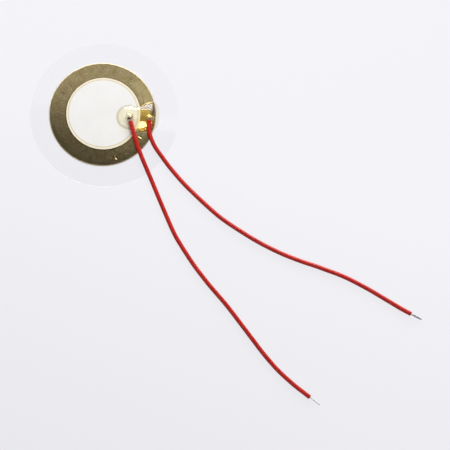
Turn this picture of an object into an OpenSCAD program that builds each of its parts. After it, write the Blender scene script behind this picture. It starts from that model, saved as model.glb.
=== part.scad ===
// Piezo disc on a clear film, with two soldered leads under a drop of clear glue.
// Millimetres, +Z up. The origin is the centre of the film's underside.
// The disc lies film side down, and both leads run out over the surface it lies on.

/* [Film] */
// Diameter of the clear carrier film
film_d = 44; // [42:0.5:60]
// Thickness of the film
film_t = 0.1; // [0.05:0.01:0.4]
// Thickness of the adhesive under the brass
adhesive_t = 0.03; // [0.02:0.01:0.1]
// How far the adhesive is squeezed out past the brass
adhesive_rim = 0.3; // [0.1:0.05:0.6]

/* [Brass plate] */
// Diameter of the brass plate
brass_d = 31.3; // [30.5:0.1:36]
// Thickness of the brass plate
brass_t = 0.22; // [0.15:0.01:0.5]
// Sideways shift of the brass from the film's centre
brass_shift_x = -0.55; // [-0.8:0.05:0.6]
// Lengthways shift of the brass from the film's centre
brass_shift_y = 0.15; // [-0.6:0.05:0.6]
// Radius of the upper edge that stamping rounded off
brass_edge_r = 0.08; // [0.02:0.01:0.12]
// Depth of the two dents in the brass
dent_depth = 0.08; // [0.02:0.01:0.1]
// Radius of the tool that left the dents
dent_r = 0.5; // [0.3:0.05:0.8]

/* [Ceramic] */
// Diameter of the ceramic disc
ceramic_d = 22; // [20.5:0.1:23]
// Thickness of the ceramic disc
ceramic_t = 0.22; // [0.1:0.01:0.4]
// Sideways shift of the ceramic from the film's centre
ceramic_shift_x = -0.3; // [-0.5:0.05:0.5]
// Lengthways shift of the ceramic from the film's centre
ceramic_shift_y = 0.25; // [-0.5:0.05:0.5]
// Thickness of the conductive bond under the ceramic
bond_t = 0.02; // [0.01:0.01:0.06]
// Thickness of each silver electrode
electrode_t = 0.01; // [0.01:0.005:0.03]
// Bare ceramic left round the upper electrode
upper_margin = 0.7; // [0.5:0.05:1.2]
// Sideways shift of the upper electrode from the ceramic's centre
upper_shift_x = -0.1; // [-0.35:0.05:0.35]
// Lengthways shift of the upper electrode from the ceramic's centre
upper_shift_y = 0.05; // [-0.3:0.05:0.3]
// Bare ceramic left round the lower electrode
lower_margin = 0.2; // [0.1:0.05:0.6]

/* [Solder joints] */
// Radius of the solder bead on the electrode
big_bead_r = 1.25; // [1:0.05:1.35]
// Height of the solder bead on the electrode
big_bead_h = 1.25; // [1.1:0.05:1.4]
// Radius of the solder bead on the brass
small_bead_r = 0.85; // [0.6:0.05:1.1]
// Height of the solder bead on the brass
small_bead_h = 1.15; // [1:0.05:1.3]

/* [Leads] */
// Outer diameter of the insulation
lead_d = 1.3; // [1:0.05:1.4]
// Diameter of the bare conductor
core_d = 0.4; // [0.3:0.05:0.5]
// Bare conductor between the insulation and the middle of the bead on the electrode
electrode_root_l = 1.3; // [1.1:0.05:1.5]
// Bare conductor between the insulation and the middle of the bead on the brass
brass_root_l = 1; // [0.95:0.05:1.3]
// Bare tinned conductor beyond the far end of the insulation
tip_l = 3.5; // [2:0.1:6]
// Glue that is left under the insulation at the joints
lead_lift = 0.05; // [0.03:0.01:0.2]

/* [Glue drop] */
// Height of the dome of glue over the joint on the electrode
electrode_dome = 1.5; // [1.4:0.05:2]
// Height of the dome of glue over the joint on the brass
brass_dome = 1.7; // [1.6:0.05:2.2]

/* [Hidden] */
$fn = 96;

brass_at = [brass_shift_x, brass_shift_y];
ceramic_at = [ceramic_shift_x, ceramic_shift_y];
upper_at = ceramic_at + [upper_shift_x, upper_shift_y];

// Levels of the stack, from the surface that the disc lies on
adhesive_z = film_t;
brass_z = adhesive_z + adhesive_t;
bond_z = brass_z + brass_t;
lower_electrode_z = bond_z + bond_t;
ceramic_z = lower_electrode_z + electrode_t;
upper_electrode_z = ceramic_z + ceramic_t;
stack_top = upper_electrode_z + electrode_t;

// Routes of the leads from their joints. Each point is x and y, and how much of the
// drop from the joint's height to the surface below is still left there, 1 to 0.
electrode_route = [
    [7.75, -2.25, 1], [8.1, -3.6, 1], [8.5, -5.0, 1], [9.2, -7.4, 0.94], [10.1, -10.2, 0.78],
    [11.3, -13.4, 0.56], [12.7, -16.7, 0.34], [14.1, -20.0, 0.16], [15.5, -23.4, 0.04],
    [16.9, -26.8, 0], [18.3, -30.1, 0], [19.7, -33.4, 0], [21.2, -36.6, 0], [23.0, -39.7, 0],
    [24.9, -42.7, 0], [26.9, -45.7, 0], [29.0, -48.5, 0], [31.2, -51.3, 0], [33.5, -54.0, 0],
    [35.8, -56.7, 0], [38.0, -59.5, 0], [40.1, -62.3, 0], [42.2, -65.1, 0], [44.3, -67.9, 0],
    [46.4, -70.7, 0], [48.6, -73.4, 0], [50.9, -76.0, 0], [53.4, -78.4, 0], [56.0, -80.7, 0],
    [58.7, -82.8, 0], [60.4, -84.1, 0]];
brass_route = [
    [13.2, -1.9, 1], [13.2, -3.6, 1], [13.3, -5.0, 1], [13.8, -7.1, 0.94], [15.1, -9.9, 0.72],
    [17.1, -12.8, 0.45], [19.3, -15.8, 0.22], [21.6, -18.6, 0.07], [24.0, -21.3, 0],
    [26.5, -23.8, 0], [29.1, -26.3, 0], [31.7, -28.7, 0], [34.4, -31.0, 0], [37.3, -33.1, 0],
    [40.2, -35.0, 0], [43.2, -36.9, 0], [46.3, -38.7, 0], [49.4, -40.3, 0], [52.6, -41.8, 0],
    [55.8, -43.1, 0], [59.1, -44.3, 0], [62.5, -45.4, 0], [65.8, -46.6, 0], [69.1, -47.8, 0],
    [72.3, -49.2, 0], [75.4, -50.8, 0], [78.5, -52.5, 0], [81.5, -54.3, 0], [84.5, -56.1, 0],
    [87.5, -57.9, 0], [90.3, -59.4, 0]];
lead_sides = 8;

// Outline of the glue drop, measured from the electrode joint
drop_outline = [
    [8.8, 1.1], [8.5, 3.6], [7.5, 5.0], [5.6, 5.0], [3.9, 4.1], [2.0, 3.5], [-0.2, 4.0], [-2.6, 3.1],
    [-3.9, 0.6], [-3.2, -2.0], [-1.2, -3.4], [0.8, -3.8], [3.0, -4.1], [5.5, -4.0], [7.6, -3.2], [8.6, -1.2]];
drop_middle = [2.1, 0.4];
drop_steps = 3;
drop_rings = 9;
// The two domes that run together in the drop: middle, measured from the electrode joint,
// half of the length along x and along y, and height
domes = [[-0.1, 0.3, 6.0, 6.4, electrode_dome], [6.0, 0.6, 5.4, 4.9, brass_dome]];
dome_blend = 0.3;
// How sharply the drop's edge turns down, where a larger number is a sharper edge
drop_lip = 8;
// The glue thins to this share of its height where it has run over the brass's edge
skirt_share = 0.12;
skirt_start = 0.7;
skirt_width = 0.9;
// The glue rounds off a step below it over this width, which starts this far outside the step
step_width = 0.45;
step_out = 0.35;

// Where the brass was dented: middle, direction and length of each dent
dents = [[10.6, -6.7, -38, 0.7], [3.5, -13.05, -62, 0.7]];

// Points of a lead, with the height worked out from its joint
function lead_points(route, seat_z) =
    let (high = seat_z + lead_lift + lead_d / 2, low = lead_d / 2)
    [for (p = route) [p[0], p[1], low + p[2] * (high - low)]];

electrode_line = lead_points(electrode_route, stack_top);
brass_line = lead_points(brass_route, bond_z);

function unit(v) = v / norm(v);
function run_of(line, i) = let (n = len(line) - 1)
    unit(line[min(i + 1, n)] - line[max(i - 1, 0)]);
function heading(a, b) = atan2(b[1] - a[1], b[0] - a[0]);

// Middle of the bead that a lead starts from
function joint_of(line, l) = let (a = heading(line[0], line[1]))
    [line[0][0] - l * cos(a), line[0][1] - l * sin(a)];
electrode_joint = joint_of(electrode_line, electrode_root_l);
brass_joint = joint_of(brass_line, brass_root_l);

// One ring of a lead's tube, square to the line
function ring(at, run, r) =
    let (side = unit(cross([0, 0, 1], run)), up = cross(run, side))
    [for (k = [0:lead_sides - 1]) let (a = 360 * (k + 0.5) / lead_sides) at + r * (cos(a) * side + sin(a) * up)];

module tube(line, r) {
    n = len(line);
    points = [for (i = [0:n - 1]) each ring(line[i], run_of(line, i), r)];
    sides = [for (i = [0:n - 2], k = [0:lead_sides - 1])
        let (a = i * lead_sides + k, b = i * lead_sides + (k + 1) % lead_sides)
        [a, a + lead_sides, b + lead_sides, b]];
    start = [for (k = [0:lead_sides - 1]) k];
    end = [for (k = [lead_sides - 1:-1:0]) (n - 1) * lead_sides + k];
    polyhedron(points, concat([start], sides, [end]), convexity = 10);
}

// A disc of the stack
module disc(at, z, d, t) {
    translate([at[0], at[1], z]) cylinder(d = d, h = t);
}

// Bare conductor, level, starting at one point of a line and heading for another
module conductor(from, a, length) {
    translate(from) rotate([0, 90, a]) cylinder(d = core_d, h = length, $fn = 32);
}

// A lens of the given radius and height, with a small wetted foot
module bead_body(r, h) {
    steps = 10;
    foot = 0.12;
    rotate_extrude($fn = 64)
        polygon(concat([[0, 0], [r, 0]],
            [for (i = [0:steps]) let (a = 90 * i / steps) [(r - foot) * cos(a), foot / 2 + (h - foot / 2) * sin(a)]]));
}

module bead(at, z, r, h) {
    translate([at[0], at[1], z]) bead_body(r, h);
}

// A groove pressed by a round-nosed tool
module dent(d, top) {
    translate([d[0], d[1], top + dent_r - dent_depth]) rotate([0, 90, d[2]]) {
        translate([0, 0, -d[3] / 2]) cylinder(r = dent_r, h = d[3], $fn = 48);
        for (end = [-1, 1])
            translate([0, 0, end * d[3] / 2]) sphere(r = dent_r, $fn = 48);
    }
}

// Catmull-Rom point at share t between points i and i + 1 of a closed outline
function spline(points, i, t) =
    let (n = len(points),
         a = points[(i + n - 1) % n], b = points[i % n], c = points[(i + 1) % n], d = points[(i + 2) % n])
    0.5 * (2 * b + (c - a) * t + (2 * a - 5 * b + 4 * c - d) * t * t + (3 * b - a - 3 * c + d) * t * t * t);

drop_edge = [for (i = [0:len(drop_outline) - 1], k = [0:drop_steps - 1])
    electrode_joint + spline(drop_outline, i, k / drop_steps)];

// Share of a smooth turn from 0 to 1
function smooth(t) = let (u = max(0, min(1, t))) u * u * (3 - 2 * u);

// Height of what lies under a point of the drop's edge, with the steps rounded off
function ground(p) =
    film_t + smooth((brass_d / 2 + step_out - norm(p - brass_at)) / step_width) * (bond_z - film_t)
    + smooth((ceramic_d / 2 + step_out - norm(p - ceramic_at)) / step_width) * (stack_top - bond_z);

// Height of the domes over a point, run together where they meet, and thin past the brass
function glue_height(p) =
    let (q = p - electrode_joint,
         parts = [for (d = domes)
             exp(d[4] / dome_blend * (1 - pow((q[0] - d[0]) / d[2], 2) - pow((q[1] - d[1]) / d[3], 2)))],
         past = smooth((norm(p - brass_at) - brass_d / 2 + skirt_start) / skirt_width))
    dome_blend * ln(parts[0] + parts[1]) * (1 - (1 - skirt_share) * past);

// The domed drop as a closed skin: rings from the edge to the top, and a wall down to the film
module drop_body() {
    n = len(drop_edge);
    middle = electrode_joint + drop_middle;
    function at(p, s) =
        let (q = middle + s * (p - middle), base = stack_top + s * s * (ground(p) - stack_top))
        [q[0], q[1], base + max(0, glue_height(q)) * (1 - pow(s, drop_lip))];
    shares = [for (k = [0:drop_rings - 1]) cos(90 * k / drop_rings)];
    rings = [for (s = shares, p = drop_edge) at(p, s)];
    points = concat([for (p = drop_edge) [p[0], p[1], film_t]], rings,
                    [at(middle, 0), [middle[0], middle[1], film_t]]);
    crown = len(points) - 2;
    last = drop_rings * n;
    bands = [for (k = [0:drop_rings - 1], i = [0:n - 1])
        let (j = (i + 1) % n, a = k * n)
        each [[a + i, a + n + i, a + j], [a + j, a + n + i, a + n + j]]];
    cap = [for (i = [0:n - 1]) [last + i, crown, last + (i + 1) % n]];
    floor = [for (i = [0:n - 1]) [(i + 1) % n, crown + 1, i]];
    polyhedron(points, concat(bands, cap, floor), convexity = 6);
}

module base_film() {
    color([0.93, 0.94, 0.96, 0.5]) disc([0, 0], 0, film_d, film_t);
}

module film_adhesive() {
    color([0.96, 0.94, 0.88]) disc(brass_at, adhesive_z, brass_d + 2 * adhesive_rim, adhesive_t);
}

// The brass before it was dented, with its upper edge rounded
module brass_blank() {
    r = brass_d / 2;
    e = brass_edge_r;
    translate([brass_at[0], brass_at[1], brass_z])
        rotate_extrude($fn = 180)
            polygon(concat([[0, 0], [r, 0]],
                [for (a = [0:30:90]) [r - e + e * cos(a), brass_t - e + e * sin(a)]], [[0, brass_t]]));
}

module brass_plate() {
    color([0.62, 0.52, 0.3])
        difference() {
            brass_blank();
            for (d = dents) dent(d, bond_z);
        }
}

module bond_layer() {
    color([0.5, 0.5, 0.48]) disc(ceramic_at, bond_z, ceramic_d, bond_t);
}

module lower_electrode() {
    color([0.85, 0.85, 0.84]) disc(ceramic_at, lower_electrode_z, ceramic_d - 2 * lower_margin, electrode_t);
}

module ceramic_disc() {
    color([0.95, 0.89, 0.74]) disc(ceramic_at, ceramic_z, ceramic_d, ceramic_t);
}

module upper_electrode() {
    color([0.94, 0.94, 0.92]) disc(upper_at, upper_electrode_z, ceramic_d - 2 * upper_margin, electrode_t);
}

module electrode_solder() {
    color([0.6, 0.6, 0.56])
        difference() {
            bead(electrode_joint, stack_top, big_bead_r, big_bead_h);
            electrode_lead_root();
            electrode_lead();
        }
}

module brass_solder() {
    color([0.72, 0.68, 0.58])
        difference() {
            bead(brass_joint, bond_z, small_bead_r, small_bead_h);
            brass_lead_root();
            brass_lead();
        }
}

// Bare conductor from the middle of its bead to the insulation
module root(line, l) {
    joint = joint_of(line, l);
    conductor([joint[0], joint[1], line[0][2]], heading(line[0], line[1]), l);
}

module electrode_lead_root() {
    color([0.75, 0.72, 0.68]) root(electrode_line, electrode_root_l);
}

module brass_lead_root() {
    color([0.75, 0.72, 0.68]) root(brass_line, brass_root_l);
}

module electrode_lead() {
    color([0.72, 0.12, 0.12]) tube(electrode_line, lead_d / 2);
}

module brass_lead() {
    color([0.72, 0.12, 0.12]) tube(brass_line, lead_d / 2);
}

// Bare tinned end of a lead, level and in line with its last stretch
module tip(line) {
    n = len(line) - 1;
    conductor(line[n], heading(line[n - 1], line[n]), tip_l);
}

module electrode_lead_tip() {
    color([0.7, 0.7, 0.7]) tip(electrode_line);
}

module brass_lead_tip() {
    color([0.45, 0.44, 0.44]) tip(brass_line);
}

module glue_drop() {
    color([0.95, 0.88, 0.62, 0.6])
        difference() {
            drop_body();
            film_adhesive();
            brass_blank();
            disc(ceramic_at, bond_z, ceramic_d, upper_electrode_z - bond_z);
            upper_electrode();
            bead(electrode_joint, stack_top, big_bead_r, big_bead_h);
            bead(brass_joint, bond_z, small_bead_r, small_bead_h);
            root(electrode_line, electrode_root_l);
            root(brass_line, brass_root_l);
            tube(electrode_line, lead_d / 2);
            tube(brass_line, lead_d / 2);
        }
}

base_film();
film_adhesive();
brass_plate();
bond_layer();
lower_electrode();
ceramic_disc();
upper_electrode();
electrode_solder();
brass_solder();
glue_drop();
electrode_lead_root();
brass_lead_root();
electrode_lead();
brass_lead();
electrode_lead_tip();
brass_lead_tip();
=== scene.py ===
"""Looks of a piezo disc on a clear film, with two red leads soldered on under a drop of clear glue.

Everything is in metres, in the frame of the CAD model: +Z is up, and the origin is the middle of
the film's underside. The disc lies on a pale floor, film side down.
"""

import math

import bpy
from mathutils import Matrix, Quaternion, Vector, noise

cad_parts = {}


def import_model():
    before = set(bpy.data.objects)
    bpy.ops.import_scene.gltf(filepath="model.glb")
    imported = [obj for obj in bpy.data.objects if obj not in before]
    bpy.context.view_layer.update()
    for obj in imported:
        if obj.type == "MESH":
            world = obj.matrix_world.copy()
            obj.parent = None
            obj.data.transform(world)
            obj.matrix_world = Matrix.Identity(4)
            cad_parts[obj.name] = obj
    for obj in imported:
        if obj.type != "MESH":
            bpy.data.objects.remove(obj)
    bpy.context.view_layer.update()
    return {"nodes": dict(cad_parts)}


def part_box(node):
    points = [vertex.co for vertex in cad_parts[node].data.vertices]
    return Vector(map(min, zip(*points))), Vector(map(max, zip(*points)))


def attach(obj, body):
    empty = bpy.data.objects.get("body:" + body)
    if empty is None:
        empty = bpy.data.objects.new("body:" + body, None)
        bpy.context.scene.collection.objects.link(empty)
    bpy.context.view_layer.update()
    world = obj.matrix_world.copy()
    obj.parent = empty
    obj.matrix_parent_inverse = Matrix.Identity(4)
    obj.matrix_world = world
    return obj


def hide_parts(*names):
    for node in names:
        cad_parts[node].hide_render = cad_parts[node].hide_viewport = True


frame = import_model()

MM = 0.001
UP = Vector((0, 0, 1))

# ---------------------------------------------------------------- sizes

_, film_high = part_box("base_film")
brass_low, brass_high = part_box("brass_plate")
ceramic_low, ceramic_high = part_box("ceramic_disc")
electrode_low, electrode_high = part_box("upper_electrode")

FILM_TOP = film_high.z
BRASS_TOP = brass_high.z
STACK_TOP = electrode_high.z
BRASS_R = (brass_high.x - brass_low.x) / 2
CERAMIC_R = (ceramic_high.x - ceramic_low.x) / 2
ELECTRODE_R = (electrode_high.x - electrode_low.x) / 2
BRASS_AT = (brass_low + brass_high) / 2
CERAMIC_AT = (ceramic_low + ceramic_high) / 2
ELECTRODE_AT = (electrode_low + electrode_high) / 2

LEAD_R = 0.65 * MM
CORE_R = 0.2 * MM
# Length of bare conductor between each lead's tube and the middle of its bead
ELECTRODE_ROOT = 1.3 * MM
BRASS_ROOT = 1.0 * MM
TIP_LENGTH = 3.5 * MM
# Gap between a lead's tube and what it is soldered to
LEAD_LIFT = 0.05 * MM
# Steps of a lead's curve between two points of its route, and sides of its tube
LEAD_STEPS = 6
LEAD_SIDES = 24

# Routes of the leads from their joints, in millimetres. Each point is x and y, and how much of
# the drop from the joint's height to the floor is still left there, 1 to 0.
ELECTRODE_ROUTE = [
    (7.75, -2.25, 1), (8.1, -3.6, 1), (8.5, -5.0, 1), (9.2, -7.4, 0.94), (10.1, -10.2, 0.78),
    (11.3, -13.4, 0.56), (12.7, -16.7, 0.34), (14.1, -20.0, 0.16), (15.5, -23.4, 0.04),
    (16.9, -26.8, 0), (18.3, -30.1, 0), (19.7, -33.4, 0), (21.2, -36.6, 0), (23.0, -39.7, 0),
    (24.9, -42.7, 0), (26.9, -45.7, 0), (29.0, -48.5, 0), (31.2, -51.3, 0), (33.5, -54.0, 0),
    (35.8, -56.7, 0), (38.0, -59.5, 0), (40.1, -62.3, 0), (42.2, -65.1, 0), (44.3, -67.9, 0),
    (46.4, -70.7, 0), (48.6, -73.4, 0), (50.9, -76.0, 0), (53.4, -78.4, 0), (56.0, -80.7, 0),
    (58.7, -82.8, 0), (60.4, -84.1, 0)]
BRASS_ROUTE = [
    (13.2, -1.9, 1), (13.2, -3.6, 1), (13.3, -5.0, 1), (13.8, -7.1, 0.94), (15.1, -9.9, 0.72),
    (17.1, -12.8, 0.45), (19.3, -15.8, 0.22), (21.6, -18.6, 0.07), (24.0, -21.3, 0),
    (26.5, -23.8, 0), (29.1, -26.3, 0), (31.7, -28.7, 0), (34.4, -31.0, 0), (37.3, -33.1, 0),
    (40.2, -35.0, 0), (43.2, -36.9, 0), (46.3, -38.7, 0), (49.4, -40.3, 0), (52.6, -41.8, 0),
    (55.8, -43.1, 0), (59.1, -44.3, 0), (62.5, -45.4, 0), (65.8, -46.6, 0), (69.1, -47.8, 0),
    (72.3, -49.2, 0), (75.4, -50.8, 0), (78.5, -52.5, 0), (81.5, -54.3, 0), (84.5, -56.1, 0),
    (87.5, -57.9, 0), (90.3, -59.4, 0)]


def lead_points(route, seat_z):
    """A route's points at the middle of its lead, with the height worked out from the joint's."""
    high = seat_z + LEAD_LIFT + LEAD_R
    return [Vector((x * MM, y * MM, LEAD_R + k * (high - LEAD_R))) for x, y, k in route]


ELECTRODE_LINE = lead_points(ELECTRODE_ROUTE, STACK_TOP)
BRASS_LINE = lead_points(BRASS_ROUTE, BRASS_TOP)


def joint_of(line, root):
    """Middle of the bead that a lead starts from, on the floor plane."""
    run = (line[1] - line[0]).normalized()
    middle = line[0] - root * run
    return Vector((middle.x, middle.y, 0))


ELECTRODE_JOINT = joint_of(ELECTRODE_LINE, ELECTRODE_ROOT)
BRASS_JOINT = joint_of(BRASS_LINE, BRASS_ROOT)

# ---------------------------------------------------------------- materials


class Material:
    """A node material, with short names for the nodes that this script needs."""

    def __init__(self, name):
        self.material = bpy.data.materials.new(name)
        self.material.use_nodes = True
        self.tree = self.material.node_tree
        self.tree.nodes.clear()
        self.place = self.node("TexCoord").outputs["Object"]

    def node(self, kind, **settings):
        made = self.tree.nodes.new("ShaderNode" + kind)
        for key, value in settings.items():
            setattr(made, key, value)
        return made

    def put(self, socket, value):
        """Links a socket, or sets its constant."""
        if isinstance(value, bpy.types.NodeSocket):
            self.tree.links.new(value, socket)
        elif socket.type == "RGBA" and len(value) == 3:
            socket.default_value = (*value, 1)
        else:
            socket.default_value = value

    def mapped(self, scale, angle=0.0):
        """The object's own coordinates, scaled, and then turned by an angle in degrees."""
        made = self.node("Mapping")
        self.put(made.inputs["Vector"], self.place)
        self.put(made.inputs["Scale"], scale)
        self.put(made.inputs["Rotation"], (0, 0, math.radians(angle)))
        return made.outputs["Vector"]

    def noise(self, size, detail=3.0, roughness=0.55, distortion=0.0, at=None):
        """Noise with blobs of about this size, in metres."""
        made = self.node("TexNoise")
        self.put(made.inputs["Vector"], at or self.place)
        self.put(made.inputs["Scale"], 1 / size)
        self.put(made.inputs["Detail"], detail)
        self.put(made.inputs["Roughness"], roughness)
        self.put(made.inputs["Distortion"], distortion)
        return made.outputs["Fac"]

    def ramp(self, source, stops):
        """A colour ramp: stops are (position, colour or grey)."""
        made = self.node("ValToRGB")
        self.put(made.inputs["Fac"], source)
        elements = made.color_ramp.elements
        while len(elements) < len(stops):
            elements.new(0.5)
        for element, (position, colour) in zip(elements, stops):
            element.position = position
            grey = isinstance(colour, (int, float))
            element.color = (colour, colour, colour, 1) if grey else (*colour, 1)
        return made.outputs["Color"]

    def maths(self, operation, a, b=0.0, clamp=False):
        """Operation on a and b. Clamped, the result stays from 0 to 1."""
        made = self.node("Math", operation=operation, use_clamp=clamp)
        self.put(made.inputs[0], a)
        self.put(made.inputs[1], b)
        return made.outputs["Value"]

    def mix(self, factor, a, b, blend="MIX"):
        made = self.node("Mix", data_type="RGBA", blend_type=blend)
        self.put(made.inputs["Factor"], factor)
        self.put(made.inputs["A"], a)
        self.put(made.inputs["B"], b)
        return made.outputs["Result"]

    def spread(self, source, low, high):
        """Source, 0 to 1, spread from low to high."""
        made = self.node("MapRange")
        self.put(made.inputs["Value"], source)
        self.put(made.inputs["To Min"], low)
        self.put(made.inputs["To Max"], high)
        return made.outputs["Result"]

    def distance_from(self, middle):
        """Level distance from a point, in metres."""
        flat = self.mapped((1, 1, 0))
        made = self.node("VectorMath", operation="DISTANCE")
        self.put(made.inputs[0], flat)
        self.put(made.inputs[1], (middle.x, middle.y, 0))
        return made.outputs["Value"]

    def ridge(self, source, middle, width):
        """1 where source is middle, and 0 beyond width on either side."""
        off = self.maths("ABSOLUTE", self.maths("SUBTRACT", source, middle))
        return self.maths("SUBTRACT", 1.0, self.maths("DIVIDE", off, width), clamp=True)

    def stroke(self, start, end, width):
        """1 along a line between two level points in millimetres, and 0 beyond half its width."""
        run = Vector(end) - Vector(start)
        from_start = self.node("VectorMath", operation="SUBTRACT")
        self.put(from_start.inputs[0], self.place)
        self.put(from_start.inputs[1], (start[0] * MM, start[1] * MM, 0))
        turned = self.node("Mapping")
        self.put(turned.inputs["Vector"], from_start.outputs["Vector"])
        self.put(turned.inputs["Rotation"], (0, 0, -math.atan2(run.y, run.x)))
        parts = self.node("SeparateXYZ")
        self.put(parts.inputs["Vector"], turned.outputs["Vector"])
        half = run.length * MM / 2
        along = self.ridge(parts.outputs["X"], half, 1.2 * half)
        across = self.ridge(parts.outputs["Y"], 0.0, width / 2)
        return self.maths("MULTIPLY", self.maths("MULTIPLY", along, 3.0, clamp=True), across)

    def bump(self, height, depth, normal=None):
        """Bump whose full height is this depth, in metres."""
        made = self.node("Bump")
        self.put(made.inputs["Strength"], 1.0)
        self.put(made.inputs["Distance"], depth)
        self.put(made.inputs["Height"], height)
        if normal:
            self.put(made.inputs["Normal"], normal)
        return made.outputs["Normal"]

    def principled(self, colour, roughness, normal=None, **inputs):
        """The standard shader. Inputs has any others of its sockets, named in small letters."""
        made = self.node("BsdfPrincipled")
        self.put(made.inputs["Base Color"], colour)
        self.put(made.inputs["Roughness"], roughness)
        if normal:
            self.put(made.inputs["Normal"], normal)
        for key, value in inputs.items():
            self.put(made.inputs[key.replace("_", " ").title().replace("Ior", "IOR")], value)
        return made.outputs["BSDF"]

    def lets_lamps_through(self, shader, tint):
        """For clear things: light falls through them unbent and tinted, and what is seen is refracted."""
        clear = self.node("BsdfTransparent")
        self.put(clear.inputs["Color"], tint)
        for ray in ("Is Diffuse Ray", "Is Shadow Ray"):
            choice = self.node("MixShader")
            self.put(choice.inputs["Fac"], self.node("LightPath").outputs[ray])
            self.put(choice.inputs[1], shader)
            self.put(choice.inputs[2], clear.outputs["BSDF"])
            shader = choice.outputs["Shader"]
        return shader

    def done(self, shader):
        """The finished material, with this shader on its surface."""
        out = self.node("OutputMaterial")
        self.put(out.inputs["Surface"], shader)
        return self.material


def film_material():
    m = Material("clear_film")
    haze = m.noise(6 * MM, detail=4)
    waves = m.bump(m.noise(9 * MM, detail=2), 0.02 * MM)
    parts = m.node("SeparateXYZ")
    m.put(parts.inputs["Vector"], m.node("NewGeometry").outputs["Normal"])
    cut_edge = m.maths("LESS_THAN", m.maths("ABSOLUTE", parts.outputs["Z"]), 0.5)
    roughness = m.mix(cut_edge, m.spread(haze, 0.03, 0.08), (0.7, 0.7, 0.7))
    shader = m.principled((0.995, 0.995, 1.0), roughness, waves, transmission_weight=1.0, ior=1.38)
    return m.done(m.lets_lamps_through(shader, (0.96, 0.96, 0.97)))


def adhesive_material():
    m = Material("adhesive")
    cloud = m.noise(0.8 * MM, detail=4)
    colour = m.ramp(cloud, [(0.3, (0.84, 0.74, 0.50)), (0.7, (0.90, 0.84, 0.68))])
    shader = m.principled(colour, 0.35, m.bump(cloud, 0.01 * MM), transmission_weight=0.3, ior=1.47)
    return m.done(m.lets_lamps_through(shader, (0.93, 0.90, 0.82)))


# Marks on the brass: both ends of each, in millimetres, and the dark ones' widths.
# The dark strokes beside the two dents, from (10.7, -5.8), (9.8, -7.0) and (2.65, -12.5), are painted
# shade of the dents' slopes. The other dark ones are specks and marks.
MARKS_AND_DENT_SHADES = [
    ((11.1, 7.0), (11.5, 4.6), 0.35), ((11.5, 4.8), (11.6, 3.5), 0.4),
    ((11.3, 3.6), (11.7, 3.5), 0.8), ((-7.9, 13.0), (-7.4, 13.3), 0.6),
    ((10.0, 11.3), (10.5, 10.9), 0.6), ((-12.4, 6.6), (-12.0, 6.3), 0.6),
    ((-10.2, 8.9), (-9.7, 8.6), 0.5), ((-11.3, 7.9), (-11.0, 8.3), 0.5),
    ((2.65, -12.5), (3.0, -13.2), 0.5), ((10.7, -5.8), (11.3, -6.0), 0.5),
    ((9.8, -7.0), (10.9, -7.7), 0.4)]
SCRATCHES = [
    ((-13.6, 7.0), (-12.6, 5.4)), ((-12.1, 5.0), (-11.4, 6.0)), ((-12.9, 4.6), (-11.3, 4.9)),
    ((-8.6, -9.4), (-7.0, -9.2)), ((-14.2, -0.2), (-13.9, -0.5))]
SCRATCH_WIDTH = 0.3 * MM


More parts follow.
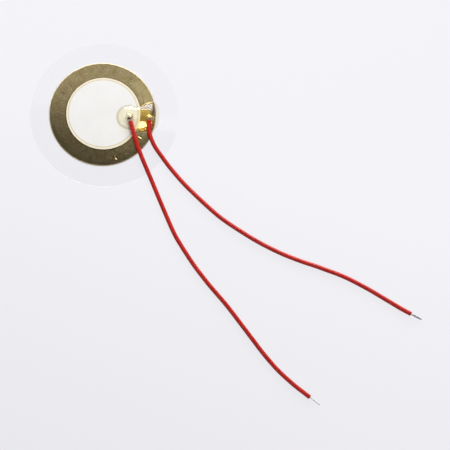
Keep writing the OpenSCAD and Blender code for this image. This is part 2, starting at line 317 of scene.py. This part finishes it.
def brass_material():
    """Rolled brass: tarnish, grain, scratches, marks at known places, and clean metal at the joint, with
    painted shade and painted highlights.
    """
    m = Material("brass")
    cloud = m.noise(1.7 * MM, detail=6, roughness=0.65, distortion=0.5)
    hue = m.noise(2.8 * MM, detail=4)
    fine = m.noise(0.4 * MM, detail=4, roughness=0.7)
    brushed = m.noise(0.1 * MM, detail=2, at=m.mapped((1, 0.04, 1), angle=35))
    colour = m.ramp(cloud, [(0.36, (0.42, 0.33, 0.14)), (0.5, (0.58, 0.475, 0.22)),
                            (0.64, (0.70, 0.60, 0.33))])
    colour = m.mix(m.ramp(hue, [(0.42, 0), (0.56, 0.6)]), colour, (0.64, 0.46, 0.27))
    colour = m.mix(m.ramp(hue, [(0.38, 0.45), (0.46, 0)]), colour, (0.57, 0.50, 0.23))
    colour = m.mix(m.spread(brushed, 0.0, 0.35), colour, (0.36, 0.29, 0.14))
    colour = m.mix(m.ramp(fine, [(0.4, 0.55), (0.5, 0)]), colour, (0.34, 0.26, 0.11))
    colour = m.mix(m.ramp(fine, [(0.54, 0), (0.66, 0.45)]), colour, (0.88, 0.78, 0.52))
    # Painted shade: a dark ring on the brass round the foot of the ceramic, where the step shades it
    painted_shade_by_ceramic = m.ridge(m.distance_from(CERAMIC_AT), CERAMIC_R, 0.45 * MM)
    colour = m.mix(m.maths("MULTIPLY", painted_shade_by_ceramic, 0.6), colour, (0.12, 0.08, 0.03))
    # Dark specks and marks, and painted shade beside the dents
    for start, end, width in MARKS_AND_DENT_SHADES:
        mark_or_dent_shade = m.maths("MULTIPLY", m.stroke(start, end, width * MM), 0.8)
        colour = m.mix(mark_or_dent_shade, colour, (0.10, 0.07, 0.03))
    for start, end in SCRATCHES:
        scratch = m.maths("MULTIPLY", m.stroke(start, end, SCRATCH_WIDTH), 0.5)
        colour = m.mix(scratch, colour, (0.90, 0.84, 0.60))
    # Painted reflection: a broad lighter patch on the upper right of the brass, where it mirrors the
    # bright room
    painted_sheen = m.maths("MULTIPLY", m.stroke((9.5, 10.0), (14.0, 2.5), 5.0 * MM), 1.5, clamp=True)
    colour = m.mix(m.maths("MULTIPLY", painted_sheen, 0.35), colour, (0.96, 0.80, 0.40))
    clean = m.maths("MULTIPLY", m.stroke((7.0, -1.0), (18.5, -1.1), 8.0 * MM), 6.0, clamp=True)
    clean_colour = m.ramp(cloud, [(0.38, (0.54, 0.37, 0.07)), (0.62, (0.78, 0.58, 0.15))])
    colour = m.mix(clean, colour, clean_colour)
    # Painted highlight: a brighter patch under the drop where the glare shows, also made rougher
    painted_glare = m.maths("MULTIPLY", m.stroke((11.1, -2.1), (11.2, -3.9), 2.5 * MM), 3.0, clamp=True)
    colour = m.mix(m.maths("MULTIPLY", painted_glare, 0.8), colour, (0.95, 0.88, 0.50))
    roughness = m.mix(clean, m.spread(fine, 0.14, 0.26), (0.1, 0.1, 0.1))
    roughness = m.mix(painted_glare, roughness, (0.3, 0.3, 0.3))
    out = m.maths("DIVIDE", m.distance_from(BRASS_AT), BRASS_R)
    roll_off = m.maths("SUBTRACT", 1.0, m.ramp(out, [(0.92, 0), (1.0, 1)]))
    shape = m.bump(roll_off, 0.03 * MM)
    shape = m.bump(cloud, 0.012 * MM, shape)
    shape = m.bump(brushed, 0.0012 * MM, shape)
    return m.done(m.principled(colour, roughness, shape, metallic=1.0))


def bond_material():
    m = Material("conductive_glue")
    grain = m.noise(0.15 * MM, detail=3)
    colour = m.ramp(grain, [(0.3, (0.22, 0.20, 0.17)), (0.7, (0.42, 0.40, 0.36))])
    return m.done(m.principled(colour, 0.6, m.bump(grain, 0.01 * MM)))


def silver_material():
    m = Material("silver_print")
    cloud = m.noise(7 * MM, detail=5)
    grain = m.noise(0.09 * MM, detail=2)
    colour = m.ramp(cloud, [(0.3, (0.785, 0.78, 0.77)), (0.7, (0.825, 0.82, 0.81))])
    edge = m.ridge(m.distance_from(ELECTRODE_AT), ELECTRODE_R, 0.16 * MM)
    colour = m.mix(m.maths("MULTIPLY", edge, 0.8), colour, (0.52, 0.40, 0.22))
    return m.done(m.principled(colour, m.spread(grain, 0.5, 0.68), m.bump(grain, 0.004 * MM)))


def ceramic_material():
    m = Material("ceramic")
    grain = m.noise(0.2 * MM, detail=3)
    colour = m.ramp(grain, [(0.3, (0.82, 0.74, 0.54)), (0.7, (0.86, 0.80, 0.64))])
    line = m.ridge(m.distance_from(ELECTRODE_AT), ELECTRODE_R, 0.2 * MM)
    colour = m.mix(m.maths("MULTIPLY", line, 0.8), colour, (0.52, 0.38, 0.18))
    return m.done(m.principled(colour, 0.5, m.bump(grain, 0.006 * MM)))


def solder_material():
    m = Material("solder")
    frost = m.noise(0.22 * MM, detail=4)
    colour = m.ramp(frost, [(0.35, (0.70, 0.70, 0.61)), (0.65, (0.97, 0.96, 0.86))])
    # Painted shade: a dark spot in the pit of the electrode's bead, by the lead's root
    painted_pit_shade = m.maths("MULTIPLY", m.stroke((6.9, -1.25), (7.5, -1.6), 0.8 * MM), 2.0, clamp=True)
    colour = m.mix(painted_pit_shade, colour, (0.05, 0.04, 0.02))
    roughness = m.spread(frost, 0.16, 0.32)
    return m.done(m.principled(colour, roughness, m.bump(frost, 0.03 * MM), metallic=1.0))


def glue_material():
    """Clear amber glue, with painted shade in its tint where its skin slopes sharply."""
    m = Material("clear_glue")
    ripple = m.noise(3 * MM, detail=0)
    skin = m.node("SeparateXYZ")
    m.put(skin.inputs["Vector"], m.node("NewGeometry").outputs["Normal"])
    over_ceramic = m.maths("LESS_THAN", m.distance_from(CERAMIC_AT), CERAMIC_R)
    # Painted shade: a darker tint on the sloping rim of the drop, for its dark outline
    painted_edge_shade = m.mix(over_ceramic, (0.62, 0.54, 0.42), (0.50, 0.48, 0.43))
    level = m.ramp(skin.outputs["Z"], [(0.70, 0), (0.84, 1)])
    tint = m.mix(level, painted_edge_shade, (0.985, 0.955, 0.82))
    shader = m.principled(tint, 0.03, m.bump(ripple, 0.004 * MM), transmission_weight=1.0, ior=1.62,
                          specular_tint=(1.0, 0.93, 0.88))
    return m.done(m.lets_lamps_through(shader, (0.97, 0.93, 0.77)))


def tinned_material(name, dark, light):
    m = Material(name)
    patch = m.noise(0.5 * MM, detail=4)
    colour = m.ramp(patch, [(0.3, dark), (0.7, light)])
    roughness = m.spread(patch, 0.3, 0.5)
    return m.done(m.principled(colour, roughness, m.bump(patch, 0.01 * MM), metallic=1.0))


def insulation_material():
    m = Material("red_insulation")
    shade = m.noise(4 * MM, detail=3)
    skin = m.noise(0.3 * MM, detail=3)
    colour = m.ramp(shade, [(0.3, (0.43, 0.010, 0.005)), (0.7, (0.53, 0.017, 0.009))])
    shader = m.principled(colour, m.spread(skin, 0.3, 0.42), m.bump(skin, 0.006 * MM),
                          specular_ior_level=0.35, subsurface_weight=0.6, subsurface_scale=0.6 * MM)
    return m.done(shader)


RED = insulation_material()
SOLDER = solder_material()
TINNED_LIGHT = tinned_material("tinned_strands_light", (0.42, 0.41, 0.40), (0.72, 0.71, 0.70))
TINNED_DARK = tinned_material("tinned_strands_dark", (0.20, 0.19, 0.20), (0.46, 0.44, 0.46))

ADHESIVE = adhesive_material()

# Finishes of the nodes that keep the CAD's own mesh, and of the adhesive under the brass
FINISHES = {
    "base_film": film_material(),
    "film_adhesive": ADHESIVE,
    "brass_plate": brass_material(),
    "bond_layer": bond_material(),
    "ceramic_disc": ceramic_material()}
FINISHES["lower_electrode"] = FINISHES["upper_electrode"] = silver_material()
for node, finish in FINISHES.items():
    for slot in frame["nodes"][node].material_slots:
        slot.material = finish

# ---------------------------------------------------------------- pieces


def placed(name, data):
    """A new object in the scene."""
    made = bpy.data.objects.new(name, data)
    bpy.context.scene.collection.objects.link(made)
    return made


def piece(name, points, faces, material, replaced):
    """A mesh that stands for a CAD node, in the given material."""
    mesh = bpy.data.meshes.new(name)
    mesh.from_pydata([tuple(p) for p in points], [], faces)
    mesh.validate()
    mesh.shade_smooth()
    made = placed(name, mesh)
    mesh.materials.append(material)
    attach(made, "root")
    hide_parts(replaced)
    return made


def smooth_line(points, steps):
    """A Catmull-Rom curve through the points, with this many steps to a stretch."""
    ends = [2 * points[0] - points[1], *points, 2 * points[-1] - points[-2]]
    line = []
    for a, b, c, d in zip(ends, ends[1:], ends[2:], ends[3:]):
        for k in range(steps):
            t = k / steps
            line.append(0.5 * (2 * b + (c - a) * t + (2 * a - 5 * b + 4 * c - d) * t ** 2
                               + (3 * b - a - 3 * c + d) * t ** 3))
    return [*line, points[-1].copy()]


def ring_faces(first, bands, around, flipped=False):
    """Faces between neighbouring rings of points, from the first point's number on."""
    faces = []
    for i in range(bands):
        for k in range(around):
            a = first + i * around + k
            b = first + i * around + (k + 1) % around
            if flipped:
                faces.append((a, a + around, b + around, b))
            else:
                faces.append((a, b, b + around, a + around))
    return faces


def tube(line, radii, sides, points, faces, reach=1):
    """Adds a closed tube along the line to points and faces. Radii has one radius for each point.

    Each ring faces along the line from reach points before it to reach points after it, so an end
    that folds back into itself still has rings that face the line's own way.
    """
    first = len(points)
    last = len(line) - 1
    for i, (at, r) in enumerate(zip(line, radii)):
        run = (line[min(i + reach, last)] - line[max(i - reach, 0)]).normalized()
        side = UP.cross(run).normalized()
        up = run.cross(side)
        for k in range(sides):
            a = 2 * math.pi * k / sides
            points.append(at + r * (math.cos(a) * side + math.sin(a) * up))
    faces += ring_faces(first, last, sides, flipped=True)
    faces.append(tuple(range(first, first + sides)))
    faces.append(tuple(reversed(range(first + last * sides, first + (last + 1) * sides))))


def insulation(name, line, replaced):
    """A lead's tube, with rounded lips and a recess round the conductor at both ends."""
    lip, recess = 0.05 * MM, 0.25 * MM
    hole = 1.15 * CORE_R
    middle = smooth_line(line, LEAD_STEPS)
    start, start_run = middle[0], (middle[1] - middle[0]).normalized()
    end, end_run = middle[-1], (middle[-1] - middle[-2]).normalized()
    # Distance from the end face, and radius there, from the recess outwards
    profile = [(recess, hole), (0, hole), (0, LEAD_R - lip),
               (0.3 * lip, LEAD_R - 0.3 * lip), (lip, LEAD_R)]
    path = [start + d * start_run for d, _ in profile]
    radii = [r for _, r in profile]
    path += middle[1:-1]
    radii += [LEAD_R] * (len(middle) - 2)
    path += [end - d * end_run for d, _ in reversed(profile)]
    radii += [r for _, r in reversed(profile)]
    points, faces = [], []
    tube(path, radii, LEAD_SIDES, points, faces, reach=3)
    return piece(name, points, faces, RED, replaced)


# How far the bare strands reach into the end of a lead's tube
INTO_TUBE = 0.2 * MM
# Strands round the middle one, steps along each, and its sides
OUTER_STRANDS = 6
STRAND_STEPS = 36
STRAND_SIDES = 10
# The strands lie a little closer than side by side, and are a little thicker, so no gap shows
STRAND_SPACING = 0.95
STRAND_SWELL = 1.05


def strands(name, start, run, length, width, material, replaced, turns=1.2):
    """Twisted strands from start along run. Width gives the bundle's radius at a share of the length."""
    side = UP.cross(run).normalized()
    up = run.cross(side)
    points, faces = [], []
    for strand in range(OUTER_STRANDS + 1):
        line, radii = [], []
        for i in range(STRAND_STEPS + 1):
            share = i / STRAND_STEPS
            r = width(share) / 3
            a = 2 * math.pi * (strand / OUTER_STRANDS + turns * share)
            out = 0 if strand == OUTER_STRANDS else 2 * r * STRAND_SPACING
            middle = start + share * length * run
            line.append(middle + out * (math.cos(a) * side + math.sin(a) * up))
            radii.append(r * STRAND_SWELL)
        tube(line, radii, STRAND_SIDES, points, faces)
    return piece(name, points, faces, material, replaced)


electrode_lead = insulation("electrode_lead_insulation", ELECTRODE_LINE, "electrode_lead")
brass_lead = insulation("brass_lead_insulation", BRASS_LINE, "brass_lead")

electrode_end = (ELECTRODE_LINE[-1] - ELECTRODE_LINE[-2]).normalized()
brass_end = (BRASS_LINE[-1] - BRASS_LINE[-2]).normalized()
electrode_tip = strands("electrode_lead_bare_end", ELECTRODE_LINE[-1] - INTO_TUBE * electrode_end,
                        electrode_end, TIP_LENGTH + INTO_TUBE,
                        lambda s: CORE_R * (0.8 if s < 0.8 else 1.0),
                        TINNED_LIGHT, "electrode_lead_tip")
brass_tip = strands("brass_lead_bare_end", BRASS_LINE[-1] - INTO_TUBE * brass_end,
                    brass_end, TIP_LENGTH + INTO_TUBE,
                    lambda s: CORE_R * (0.6 + 0.9 * math.sin(math.pi * s)),
                    TINNED_DARK, "brass_lead_tip")
for line, root, replaced in ((ELECTRODE_LINE, ELECTRODE_ROOT, "electrode_lead_root"),
                             (BRASS_LINE, BRASS_ROOT, "brass_lead_root")):
    run = (line[1] - line[0]).normalized()
    strands(replaced + "_strands", line[0] - root * run, run, root + INTO_TUBE,
            lambda s: CORE_R, TINNED_DARK, replaced, turns=0.5)


# Sides and steps of a bead, how far its wetted foot stands out, and how much narrower it is above that
BEAD_SIDES = 48
BEAD_STEPS = 20
BEAD_FOOT = 0.14 * MM
BEAD_WAIST = 0.12 * MM
# The pit in a bead: its height as an angle in radians, its spread, and the shares of the bead's
# radius and height that its middle takes away
PIT_TILT = 0.75
PIT_SPREAD = 0.16
PIT_IN = 0.25
PIT_DOWN = 0.12
# How uneven a bead is, as a share of its size, and how fine that is, in waves to a metre
BEAD_ROUGH = 0.05
BEAD_WAVES = 1400


def solder_bead(name, joint, floor_z, radius, height, pit, replaced):
    """A rounded bead with a wetted foot, and a pit towards the angle pit, in degrees."""
    points = []
    for i in range(BEAD_STEPS + 1):
        rise = i / BEAD_STEPS
        tilt = math.radians(90 * rise)
        foot = BEAD_FOOT * max(0, 1 - 7 * rise)
        for k in range(BEAD_SIDES):
            a = 2 * math.pi * k / BEAD_SIDES
            from_pit = math.sin((math.radians(pit) - a) / 2) * 2
            near = math.exp(-(from_pit ** 2 + (tilt - PIT_TILT) ** 2) / PIT_SPREAD)
            r = (radius - BEAD_WAIST) * math.cos(tilt) * (1 - PIT_IN * near) + foot
            z = height * math.sin(tilt) * (1 - PIT_DOWN * near)
            p = Vector((r * math.cos(a), r * math.sin(a), z))
            # The joint's own place, in millimetres, makes the two beads uneven in different ways
            p *= 1 + BEAD_ROUGH * noise.noise(p * BEAD_WAVES + joint * 1000)
            points.append(Vector((joint.x, joint.y, floor_z)) + p)
    faces = ring_faces(0, BEAD_STEPS, BEAD_SIDES)
    faces.append(tuple(reversed(range(BEAD_SIDES))))
    return piece(name, points, faces, SOLDER, replaced)


solder_bead("electrode_solder_bead", ELECTRODE_JOINT + Vector((0.1 * MM, 0.2 * MM, 0)), STACK_TOP,
            1.25 * MM, 1.25 * MM, 225, "electrode_solder")
solder_bead("brass_solder_bead", BRASS_JOINT, BRASS_TOP, 0.85 * MM, 1.15 * MM, 160, "brass_solder")

# Outline of the glue drop, measured from the electrode joint in millimetres
DROP_OUTLINE = [
    (8.8, 1.1), (8.5, 3.6), (7.5, 5.0), (5.6, 5.0), (3.9, 4.1), (2.0, 3.5), (-0.2, 4.0), (-2.6, 3.1),
    (-3.9, 0.6), (-3.2, -2.0), (-1.2, -3.4), (0.8, -3.8), (3.0, -4.1), (5.5, -4.0), (7.6, -3.2),
    (8.6, -1.2)]
# Middle of the skin's rings, measured from the electrode joint
DROP_MIDDLE = Vector((2.1 * MM, 0.4 * MM, 0))
# The two domes that run together in the drop: middle, measured from the electrode joint,
# half of the length along x and along y, and height above the top of the stack
DOMES = [(-0.1, 0.3, 6.0, 6.4, 1.5), (6.0, 0.6, 5.4, 4.9, 1.56)]
# How softly the two domes run together, in millimetres
DOME_BLEND = 0.3
# Share of the domes' height that the skin reaches, and how full its lip is
SKIN_SHARE = 0.99
DROP_LIP = 8
# How close to its edge the drop follows what lies under that edge, where a larger number is closer
DROP_FOOT = 12
# How far outside a disc's edge the step over it starts, and how wide that rounded step is
STEP_START = 0.35 * MM
STEP_WIDTH = 0.45 * MM
# How far inside the brass's edge the drop starts to thin, over what width, and the share it loses
SKIRT_START = 0.7 * MM
SKIRT_WIDTH = 0.9 * MM
SKIRT_LOSS = 0.88
# Steps of the drop's outline between two of its points, and rings from its edge to its top
DROP_STEPS = 12
DROP_RINGS = 80


def smooth(t):
    """Share of a smooth turn from 0 to 1."""
    t = min(1, max(0, t))
    return t * t * (3 - 2 * t)


def level_distance(p, middle):
    return math.hypot(p.x - middle.x, p.y - middle.y)


def over_disc(p, middle, radius):
    """1 over a disc, and 0 off it, with the rounded step between."""
    return smooth((radius + STEP_START - level_distance(p, middle)) / STEP_WIDTH)


def ground(p):
    """Height of what lies under a point of the drop's edge, with the steps rounded off."""
    brass_share = over_disc(p, BRASS_AT, BRASS_R)
    ceramic_share = over_disc(p, CERAMIC_AT, CERAMIC_R)
    return FILM_TOP + brass_share * (BRASS_TOP - FILM_TOP) + ceramic_share * (STACK_TOP - BRASS_TOP)


def glue_height(p):
    """Height of the domes over a point, run together where they meet, and thin past the brass."""
    q = (p - ELECTRODE_JOINT) / MM
    total = 0
    for x, y, long, wide, high in DOMES:
        total += math.exp(high / DOME_BLEND * (1 - ((q.x - x) / long) ** 2 - ((q.y - y) / wide) ** 2))
    past = smooth((level_distance(p, BRASS_AT) - BRASS_R + SKIRT_START) / SKIRT_WIDTH)
    return max(0, DOME_BLEND * MM * math.log(total) * (1 - SKIRT_LOSS * past))


def glue_drop():
    """The drop's skin in rings from the edge to the top. It stands in the film, and is open below."""
    corners = [ELECTRODE_JOINT + Vector((x * MM, y * MM, 0)) for x, y in DROP_OUTLINE]
    looped = smooth_line([corners[-1], *corners, corners[0], corners[1]], DROP_STEPS)
    # One turn of the outline, whose last stretch, on the right, is left straight
    edge = looped[DROP_STEPS:-2 * DROP_STEPS]
    middle = ELECTRODE_JOINT + DROP_MIDDLE

    def skin(p, share):
        q = middle + share * (p - middle)
        base = STACK_TOP + share ** DROP_FOOT * (ground(p) - STACK_TOP)
        return Vector((q.x, q.y, base + SKIN_SHARE * glue_height(q) * (1 - share ** DROP_LIP)))

    points = [Vector((p.x, p.y, 0.8 * FILM_TOP)) for p in edge]
    for k in range(DROP_RINGS):
        points += [skin(p, math.cos(math.pi / 2 * k / DROP_RINGS)) for p in edge]
    crown = len(points)
    points.append(skin(middle, 0))
    around = len(edge)
    inmost = DROP_RINGS * around
    faces = ring_faces(0, DROP_RINGS, around)
    faces += [(inmost + i, inmost + (i + 1) % around, crown) for i in range(around)]
    return piece("glue_drop_body", points, faces, glue_material(), "glue_drop")


drop = glue_drop()


def adhesive_collar():
    """The adhesive under the brass, with the low collar that it makes up the brass's edge."""
    around = 180
    # Distance outside the brass's edge, and height above the film, in millimetres, from the middle
    # of the top to the middle of the underside
    profile = [(-14, 0.028), (-0.3, 0.028), (-0.02, 0.028), (-0.01, 0.13), (0.02, 0.125), (0.05, 0.085),
               (0.09, 0.05), (0.14, 0.025), (0.2, 0.01), (0.28, 0.0), (0.28, -0.02), (-14, -0.02)]
    points = []
    for out, rise in profile:
        r = BRASS_R + out * MM
        z = FILM_TOP + rise * MM
        for k in range(around):
            a = 2 * math.pi * k / around
            points.append(Vector((BRASS_AT.x + r * math.cos(a), BRASS_AT.y + r * math.sin(a), z)))
    bands = len(profile) - 1
    faces = ring_faces(0, bands, around, flipped=True)
    faces.append(tuple(reversed(range(around))))
    faces.append(tuple(range(bands * around, (bands + 1) * around)))
    return piece("film_adhesive_collar", points, faces, ADHESIVE, "film_adhesive")


adhesive_collar()

# ---------------------------------------------------------------- cords


for lead, line, tip in ((electrode_lead, ELECTRODE_LINE, electrode_tip),
                        (brass_lead, BRASS_LINE, brass_tip)):
    path = smooth_line(line, LEAD_STEPS)

# ---------------------------------------------------------------- floor, light and camera

FLOOR_SIZE = 30.0
FLOOR_GAP = 0.02 * MM
PALE = (0.905, 0.90, 0.935)
# Strength of the floor's own glow, and how much of it is lost at most towards the left and the front
GLOW = 0.905
GLOW_LOSS = 0.12
# Loss for each metre to the left and to the front
LOSS_LEFT = 0.3
LOSS_FRONT = 0.75


def seen(m):
    """1 for what the camera sees, straight or in metal and glass."""
    path = m.node("LightPath").outputs
    return m.maths("ADD", m.maths("ADD", path["Is Camera Ray"], path["Is Glossy Ray"], clamp=True),
                   path["Is Transmission Ray"], clamp=True)


def floor_material():
    """A pale sheet. Part of what is seen of it is its own glow, so that shadows on it stay faint."""
    m = Material("pale_floor")
    visible = seen(m)
    paper = m.node("BsdfDiffuse")
    m.put(paper.inputs["Color"], m.mix(visible, (0.8, 0.8, 0.82), (0.08, 0.08, 0.083)))
    glow = m.node("Emission")
    m.put(glow.inputs["Color"], PALE)
    parts = m.node("SeparateXYZ")
    m.put(parts.inputs["Vector"], m.place)
    fall = m.maths("ADD", m.maths("MULTIPLY", parts.outputs["X"], LOSS_LEFT),
                   m.maths("MULTIPLY", parts.outputs["Y"], LOSS_FRONT))
    lost = m.maths("MINIMUM", m.maths("MAXIMUM", fall, -GLOW_LOSS), 0)
    m.put(glow.inputs["Strength"], m.maths("MULTIPLY", visible, m.maths("ADD", GLOW, lost)))
    both = m.node("AddShader")
    m.put(both.inputs[0], paper.outputs["BSDF"])
    m.put(both.inputs[1], glow.outputs["Emission"])
    return m.done(both.outputs["Shader"])


def floor():
    half = FLOOR_SIZE / 2
    mesh = bpy.data.meshes.new("floor")
    corners = ((-1, -1), (1, -1), (1, 1), (-1, 1))
    mesh.from_pydata([(x * half, y * half, -FLOOR_GAP) for x, y in corners], [], [(0, 1, 2, 3)])
    made = placed("floor", mesh)
    mesh.materials.append(floor_material())


def world():
    """A room that is dim overhead and brighter towards the walls."""
    made = bpy.data.worlds.new("room")
    bpy.context.scene.world = made
    made.use_nodes = True
    tree = made.node_tree
    tree.nodes.clear()
    place = tree.nodes.new("ShaderNodeTexCoord")
    parts = tree.nodes.new("ShaderNodeSeparateXYZ")
    tree.links.new(place.outputs["Generated"], parts.inputs["Vector"])
    height = tree.nodes.new("ShaderNodeValToRGB")
    tree.links.new(parts.outputs["Z"], height.inputs["Fac"])
    # Height in the room, from 0 at the horizon to 1 overhead, and brightness there
    for element, (position, grey) in zip(height.color_ramp.elements, ((0.55, 0.14), (0.93, 0.07))):
        element.position = position
        element.color = (grey, 0.95 * grey, 0.92 * grey, 1)
    room = tree.nodes.new("ShaderNodeBackground")
    tree.links.new(height.outputs["Color"], room.inputs["Color"])
    backdrop = tree.nodes.new("ShaderNodeBackground")
    backdrop.inputs["Color"].default_value = (*PALE, 1)
    path = tree.nodes.new("ShaderNodeLightPath")
    choice = tree.nodes.new("ShaderNodeMixShader")
    tree.links.new(path.outputs["Is Camera Ray"], choice.inputs["Fac"])
    tree.links.new(room.outputs["Background"], choice.inputs[1])
    tree.links.new(backdrop.outputs["Background"], choice.inputs[2])
    out = tree.nodes.new("ShaderNodeOutputWorld")
    tree.links.new(choice.outputs["Shader"], out.inputs["Surface"])


def softbox(name, at, aim, width, height, radiance, tint=(1, 1, 1), turn=0, only=None):
    """A rectangular lamp that the camera doesn't see. Its brightness is given as seen from the front.

    Turn spins it, in degrees. Only names one piece that it lights, where it doesn't light everything.
    """
    lamp = bpy.data.lights.new(name, "AREA")
    lamp.shape = "RECTANGLE"
    lamp.size, lamp.size_y = width, height
    lamp.energy = radiance * width * height * math.pi
    lamp.color = tint
    made = placed(name, lamp)
    made.location = at
    made.rotation_mode = "QUATERNION"
    facing = (Vector(aim) - Vector(at)).to_track_quat("-Z", "Y")
    made.rotation_quaternion = facing @ Quaternion((0, 0, 1), math.radians(turn))
    made.visible_camera = False
    if only:
        lit = bpy.data.collections.new(name + "_lights")
        lit.objects.link(only)
        made.light_linking.receiver_collection = lit


def camera(azimuth, elevation, distance, aim, lens):
    """Camera that looks at aim from that side, turned so that +Y points up in the picture."""
    a, e = math.radians(azimuth), math.radians(elevation)
    back = Vector((math.sin(a) * math.cos(e), -math.cos(a) * math.cos(e), math.sin(e)))
    up = Vector((0, 1, 0)) - Vector((0, 1, 0)).dot(back) * back
    up.normalize()
    right = up.cross(back)
    data = bpy.data.cameras.new("camera")
    data.lens, data.sensor_width = lens, 36
    data.clip_start, data.clip_end = 0.01, 100
    made = placed("camera", data)
    place = Vector(aim) + distance * back
    made.matrix_world = Matrix.Translation(place) @ Matrix((right, up, back)).transposed().to_4x4()
    bpy.context.scene.camera = made


floor()
world()
# What the large lamps face
CENTRE = (0.02, -0.02, 0)
softbox("window_low", (0.08, 0.85, 0.352), CENTRE, 1.0, 0.43, 11)
softbox("window_high", (0.08, 0.65, 0.65), CENTRE, 1.0, 0.324, 1.8)
softbox("fill", (-0.35, -0.55, 0.35), CENTRE, 0.9, 0.5, 1.0)
softbox("overhead", (0.006, 0.069, 0.11), (0.006, 0.069, 0), 0.14, 0.075, 0.47, turn=-5)
softbox("overhead_right", (0.045, 0.066, 0.11), (0.045, 0.066, 0), 0.08, 0.085, 1.15, turn=-5)
softbox("over_joint", (0.0137, 0.0022, 0.018), (0.0137, 0.0022, 0), 0.0034, 0.0032, 1.15)
softbox("drop_glow", (0.0129, 0.0130, 0.0125), (0.0132, 0.002, 0.0018), 0.014, 0.0055, 5.5,
        only=drop)
softbox("glint", (0.24, -0.21, 0.40), (0.01, 0, 0), 0.08, 0.08, 14, (1, 0.98, 0.9))
camera(azimuth=-12, elevation=77, distance=0.6, aim=(0.03586, -0.03316, 0), lens=163.1)
bpy.context.scene.view_settings.view_transform = "Standard"
